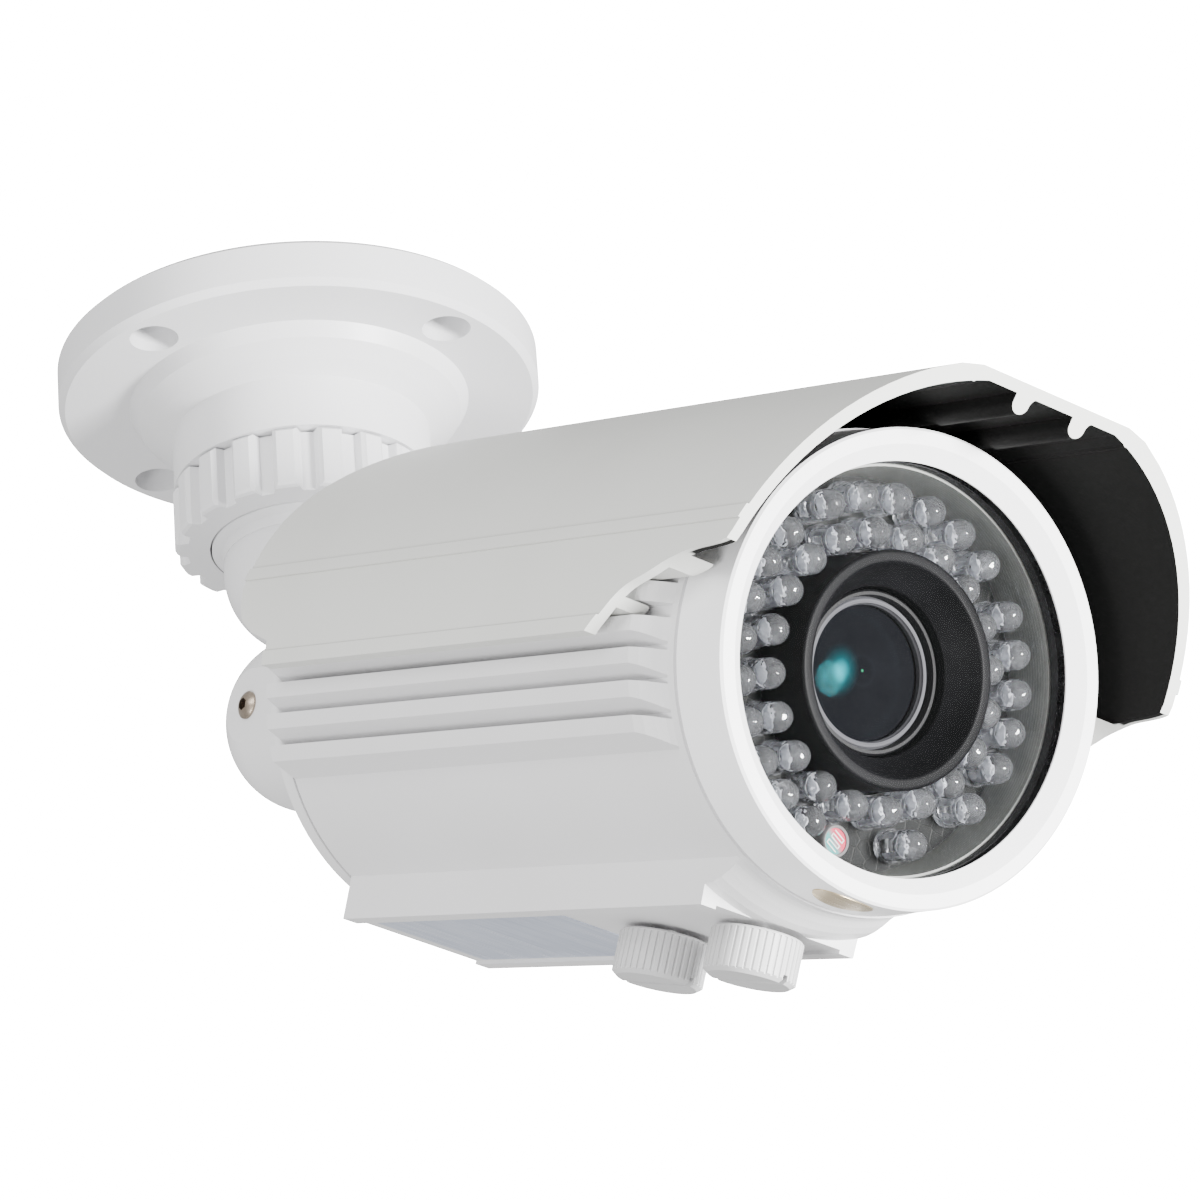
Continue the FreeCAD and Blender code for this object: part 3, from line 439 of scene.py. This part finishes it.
def solder_mask(deep, track):
    """Lacquered board: deep colour, with paler tracks between cells."""
    def build(place):
        local = along_camera(place)
        cells = local.node("TexVoronoi", {"feature": "DISTANCE_TO_EDGE"},
                           {"Vector": local, "Scale": 420, "Randomness": 0.6}, 0)
        line = 1 - cells.step(0.02, 0.07)
        dust = noise(place, 300, 3)
        return {"Base_Color": (line * 0.8 + dust * 0.15).blend(deep, track),
                "Roughness": dust * 0.25 + 0.25,
                "Normal": bump(line, 0.00004)}
    return build


dress(finish("black_board", solder_mask((0.006, 0.0065, 0.0065, 1), (0.018, 0.019, 0.018, 1)),
             Specular_IOR_Level=0.15), "led_board")
dress(finish("green_board", solder_mask((0.008, 0.085, 0.035, 1), (0.03, 0.17, 0.07, 1))),
      "sensor_board", "main_board")


def chip_skin(place):
    grain = noise(place, 1800, 2)
    return {"Base_Color": grain.blend((0.012, 0.012, 0.013, 1), (0.04, 0.04, 0.04, 1)),
            "Roughness": grain * 0.3 + 0.3, "Normal": bump(grain, 0.00002)}


dress(finish("chip_moulding", chip_skin), "board_chips", "image_sensor")

# ---- small internal pieces ----
# Brass pillars between the boards, a copper-wound coil, nylon washers and a plug socket.
# The wire's ridges follow one another every 0.7 mm along the coil.
WIRE_WAVE = 9000


def spun_brass(place):
    tarnish = noise(place, 260, 3)
    return {"Base_Color": tarnish.blend((0.66, 0.50, 0.22, 1), (0.42, 0.30, 0.12, 1)),
            "Roughness": tarnish * 0.3 + 0.2}


def wound_wire(place):
    turns = along_camera(place).part(0) * WIRE_WAVE
    ridge = turns.maths("SINE", turns)
    return {"Base_Color": (ridge * 0.5 + 0.5).blend((0.20, 0.07, 0.03, 1), (0.62, 0.27, 0.13, 1)),
            "Roughness": ridge * 0.1 + 0.35, "Normal": bump(ridge, 0.00008)}


def natural_nylon(place):
    haze = noise(place, 180, 2)
    return {"Base_Color": haze.blend((0.80, 0.79, 0.74, 1), (0.66, 0.64, 0.58, 1)),
            "Roughness": haze * 0.2 + 0.45}


dress(finish("pillar_brass", spun_brass, Metallic=1.0), "board_standoffs")
dress(finish("copper_winding", wound_wire, Metallic=0.8), "filter_coil")
dress(finish("natural_nylon", natural_nylon), "friction_washer", "knuckle_washer",
      "video_connector")

# ---- foils ----
# Self-adhesive metal foils: a blank silver one in the keel's recess and a small blank gold
# oval under the front ring.


def brushed_foil(bright, dull):
    """Foil with streaks along it and slow swirls: bright and dull tones painted as reflections of its
    brushing and crumples.
    """
    def build(place):
        local = along_camera(place)
        # The streaks and swirls are painted reflections in the colour; the streaks also vary the
        # roughness.
        streak = noise(local.node("Mapping", None, {"Vector": local, "Scale": (60, 900, 60)}), 1.0, 3)
        painted_swirl = noise(place, 55, 2)
        return {"Base_Color": (streak * 0.5 + painted_swirl * 0.5).blend(bright, dull),
                "Roughness": streak * 0.25 + 0.18}
    return build


dress(finish("silver_foil", brushed_foil((0.80, 0.85, 0.97, 1), (0.36, 0.42, 0.56, 1)), Metallic=0.85),
      "keel_label")
dress(finish("gold_foil", brushed_foil((0.62, 0.50, 0.30, 1), (0.36, 0.29, 0.19, 1)), Metallic=0.8),
      "front_badge")

# ---- lamps ----
# Round 5 mm infrared lamps soldered to the black board: a clear resin body with a flange
# and a domed end. Inside, an open pressed cup stands on its two legs. A run of the outer
# row is its first angle, its number of lamps and their spacing, in degrees.
LAMP_R = 0.0025
LAMP_FLANGE_R = 0.0028
LAMP_FLANGE = 0.001
LAMP_DOME_Y = 0.0085
BOARD_Y = 0.0146
OUTER_ROW_R = 0.0275
INNER_ROW_R = 0.02175
OUTER_RUNS = ((55.0, 6, 14.26), (146.0, 9, 13.56), (297.7, 1, 0), (325.7, 1, 0), (343.6, 5, 13.1))
INNER_COUNT = 20
CUP_OUTLINE = ((0.00075, 0.0106), (0.00095, 0.0102), (0.0011, 0.0102), (0.00095, 0.0110),
               (0.00075, 0.0110), (0.00075, 0.0106))
CUP_LEGS = ((0.0008, 0.0108), (-0.0010, 0.0112))
LEG_WIDTH = 0.0005


def copies(make, places):
    """One mesh holding what make() gives, put at each matrix of places."""
    whole = bmesh.new()
    for place in places:
        one = make()
        one.transform(place)
        piece = bpy.data.meshes.new("lamp_part")
        one.to_mesh(piece)
        one.free()
        whole.from_mesh(piece)
        bpy.data.meshes.remove(piece)
    return whole


def lamp_body():
    dome = [(LAMP_R * math.sin(math.radians(a)), LAMP_DOME_Y - LAMP_R * math.cos(math.radians(a)))
            for a in range(0, 91, 15)]
    return spin_round(dome + [(LAMP_R, BOARD_Y - LAMP_FLANGE), (LAMP_FLANGE_R, BOARD_Y - LAMP_FLANGE),
                              (LAMP_FLANGE_R, BOARD_Y), (0, BOARD_Y)], 20)


def lamp_cup():
    """Open reflector cup with its two legs behind it."""
    cup = spin_round(CUP_OUTLINE, 14)
    for side, top_y in CUP_LEGS:
        leg = bmesh.ops.create_cube(cup, size=1.0)["verts"]
        bmesh.ops.scale(cup, vec=(LEG_WIDTH, BOARD_Y - top_y, LEG_WIDTH), verts=leg)
        bmesh.ops.translate(cup, vec=(side, (BOARD_Y + top_y) / 2, 0), verts=leg)
    return cup


def row_places(radius, angles):
    return [to_row @ Matrix.Rotation(-math.radians(a), 4, "Y") @ Matrix.Translation((radius, 0, 0))
            for a in angles]


def resin(place):
    haze = noise(place, 700, 2)
    flow = noise(place, 750, 1)
    return {"Base_Color": haze.blend((0.95, 0.96, 0.99, 1), (0.84, 0.86, 0.91, 1)),
            "Roughness": haze * 0.04 + 0.01,
            "Normal": bump(flow, 0.00022)}


def cup_metal(place):
    tint = noise(place, 900, 2)
    return {"Base_Color": tint.blend((0.92, 0.93, 0.95, 1), (0.60, 0.62, 0.66, 1)),
            "Roughness": tint * 0.25 + 0.25}


lamp_resin = finish("lamp_resin", resin, Transmission_Weight=0.95, IOR=1.5)
lamp_metal = finish("lamp_cup_metal", cup_metal, Metallic=0.9)
outer_angles = [start + i * pitch for start, count, pitch in OUTER_RUNS for i in range(count)]
inner_angles = [360 / INNER_COUNT * i for i in range(INNER_COUNT)]
for row, radius, angles, node in (("outer", OUTER_ROW_R, outer_angles, "leds_outer"),
                                  ("inner", INNER_ROW_R, inner_angles, "leds_inner")):
    places = row_places(radius, angles)
    bodies = keep(copies(lamp_body, places), "lamp_bodies_" + row, lamp_resin, "camera")
    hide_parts(node)
    cups = keep(copies(lamp_cup, places), "lamp_cups_" + row, lamp_metal, "camera")

# ---- light sensor ----
# Photocell on the board in the gap of the outer row: a grey ceramic disc with a film that
# is half red and half green, crossed by a winding silver track.
CELL_X = -0.0003
CELL_Z = -0.0275
CELL_SHIFT_Y = 0.0008
CELL_OUTLINE = ((0, 0.0099), (0.0021, 0.0099), (0.0021, 0.0096), (0.0024, 0.0094), (0.0026, 0.0097),
                (0.0026, 0.0126), (0.0012, 0.0126), (0.0012, BOARD_Y), (0, BOARD_Y))
FILM_R = 0.00205
FILM_THICK = 0.0001
FILM_Y = 0.01065
TRACK_Y = 0.01056
TRACK_THICK = 0.00008
TRACK_WIDTH = 0.00018
TRACK_LENGTH = 0.0024
TRACK_PITCH = 0.00062
TRACK_BARS = 5
LINK_X = 0.0011
LINK_LENGTH = 0.0008
TRACK_TURN = 0.5


def cell_film(place):
    local = along_camera(place)
    across = local.part(0) * 220 + local.part(2) * 220 + 6.1
    speck = noise(place, 900, 2)
    green, red = (0.03, 0.26, 0.25, 1), (0.55, 0.02, 0.07, 1)
    return {"Base_Color": (across.step(-0.25, 0.25) * 0.9 + speck * 0.1).blend(green, red),
            "Roughness": speck * 0.2 + 0.15}


def ceramic(place):
    speck = noise(place, 1200, 2)
    return {"Base_Color": speck.blend((0.24, 0.23, 0.23, 1), (0.15, 0.145, 0.15, 1)),
            "Roughness": speck * 0.2 + 0.3}


def silver_track(place):
    tarnish = noise(place, 1200, 2)
    return {"Base_Color": tarnish.blend((0.72, 0.72, 0.70, 1), (0.55, 0.55, 0.52, 1)),
            "Roughness": tarnish * 0.2 + 0.3}


cell = spin_round(CELL_OUTLINE, 40)
cell.transform(to_row @ Matrix.Translation((CELL_X, CELL_SHIFT_Y, CELL_Z)))
cell_body = keep(cell, "light_cell", finish("grey_ceramic", ceramic, Coat_Weight=0.6), "camera")
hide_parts("light_sensor")
film = bmesh.new()
bmesh.ops.create_cone(film, cap_ends=True, segments=40, radius1=FILM_R, radius2=FILM_R,
                      depth=FILM_THICK, matrix=Matrix.Rotation(math.pi / 2, 4, "X"))
film.transform(to_row @ Matrix.Translation((CELL_X, FILM_Y, CELL_Z)))
keep(film, "light_cell_film", finish("cell_film", cell_film, Coat_Weight=1.0), "camera")
track = bmesh.new()
bars = [(0, i - 2, TRACK_LENGTH, TRACK_WIDTH) for i in range(TRACK_BARS)]
links = [(LINK_X * (1 if i % 2 else -1), i - 1.5, TRACK_WIDTH, LINK_LENGTH) for i in range(TRACK_BARS - 1)]
for side, step, wide, high in bars + links:
    bar = bmesh.ops.create_cube(track, size=1.0)["verts"]
    bmesh.ops.scale(track, vec=(wide, TRACK_THICK, high), verts=bar)
    bmesh.ops.translate(track, vec=(side, 0, step * TRACK_PITCH), verts=bar)
track.transform(to_row @ Matrix.Translation((CELL_X, TRACK_Y, CELL_Z))
                @ Matrix.Rotation(TRACK_TURN, 4, "Y"))
keep(track, "light_cell_track", finish("silver_track", silver_track), "camera")

# ---- studio ----
# Plain pale floor well below the camera, white surroundings and soft lights. The lens
# stands below and in front of the object and looks up at it.
EYE = Vector((-0.54383, -0.75373, -0.53705))
AZIMUTH = math.radians(-39.022)
ELEVATION = math.radians(-27.499)
TWIST = math.radians(-4.481)
FOCAL_LENGTH = 174.8
FILM_WIDTH = 36.0
FLOOR_Z = -2.2
FLOOR_REACH = 6.0
MIDDLE = Vector((0, -0.09, -0.08))
BACKDROP_GLOW = 22
ROOM_GLOW = 0.86
backward = Vector((math.sin(AZIMUTH) * math.cos(ELEVATION), -math.cos(AZIMUTH) * math.cos(ELEVATION),
                   math.sin(ELEVATION)))
level = Vector((math.cos(AZIMUTH), math.sin(AZIMUTH), 0))
upward = backward.cross(level)
right = math.cos(TWIST) * level + math.sin(TWIST) * upward
top = -math.sin(TWIST) * level + math.cos(TWIST) * upward
lens = bpy.data.cameras.new("viewer")
lens.lens = FOCAL_LENGTH
lens.sensor_width = FILM_WIDTH
lens.clip_end = 50
viewer = bpy.data.objects.new("viewer", lens)
viewer.matrix_world = Matrix((right, top, backward)).transposed().to_4x4()
viewer.location = EYE
bpy.context.scene.collection.objects.link(viewer)
bpy.context.scene.camera = viewer

floor_shape = bmesh.new()
bmesh.ops.create_grid(floor_shape, x_segments=1, y_segments=1, size=FLOOR_REACH,
                      matrix=Matrix.Translation((0, 0, FLOOR_Z)))
floor_mesh = bpy.data.meshes.new("floor")
floor_shape.to_mesh(floor_mesh)
floor_shape.free()
floor = bpy.data.objects.new("floor", floor_mesh)
bpy.context.scene.collection.objects.link(floor)


def pale_floor(place):
    cloud = noise(place, 3, 2)
    return {"Base_Color": cloud.blend((0.86, 0.86, 0.86, 1), (0.82, 0.82, 0.82, 1)),
            "Roughness": cloud * 0.1 + 0.7}


floor_mesh.materials.append(finish("pale_floor", pale_floor))


def soft_light(name, sideways, height, near, size, watts):
    """An area light placed about the object as the viewer sees it."""
    lamp = bpy.data.lights.new(name, "AREA")
    lamp.shape = "DISK"
    lamp.size = size
    lamp.energy = watts
    held = bpy.data.objects.new(name, lamp)
    place = MIDDLE + right * sideways + top * height + backward * near
    held.matrix_world = (Matrix.Translation(place)
                         @ (place - MIDDLE).to_track_quat("Z", "Y").to_matrix().to_4x4())
    bpy.context.scene.collection.objects.link(held)


soft_light("key_light", -0.75, 0.75, 0.7, 0.6, 8)
soft_light("front_light", 0.85, 0.05, 0.75, 0.32, 66)
soft_light("low_light", -0.55, -0.35, 0.9, 0.5, 11)

world = bpy.data.worlds.new("white_room")
bpy.context.scene.world = world
world.use_nodes = True
sky = Signal(world.node_tree)
seen = sky.node("LightPath")
backdrop = world.node_tree.nodes["Background"]
world.node_tree.links.new((seen * BACKDROP_GLOW + ROOM_GLOW).socket, backdrop.inputs["Strength"])
backdrop.inputs["Color"].default_value = (1, 1, 1, 1)
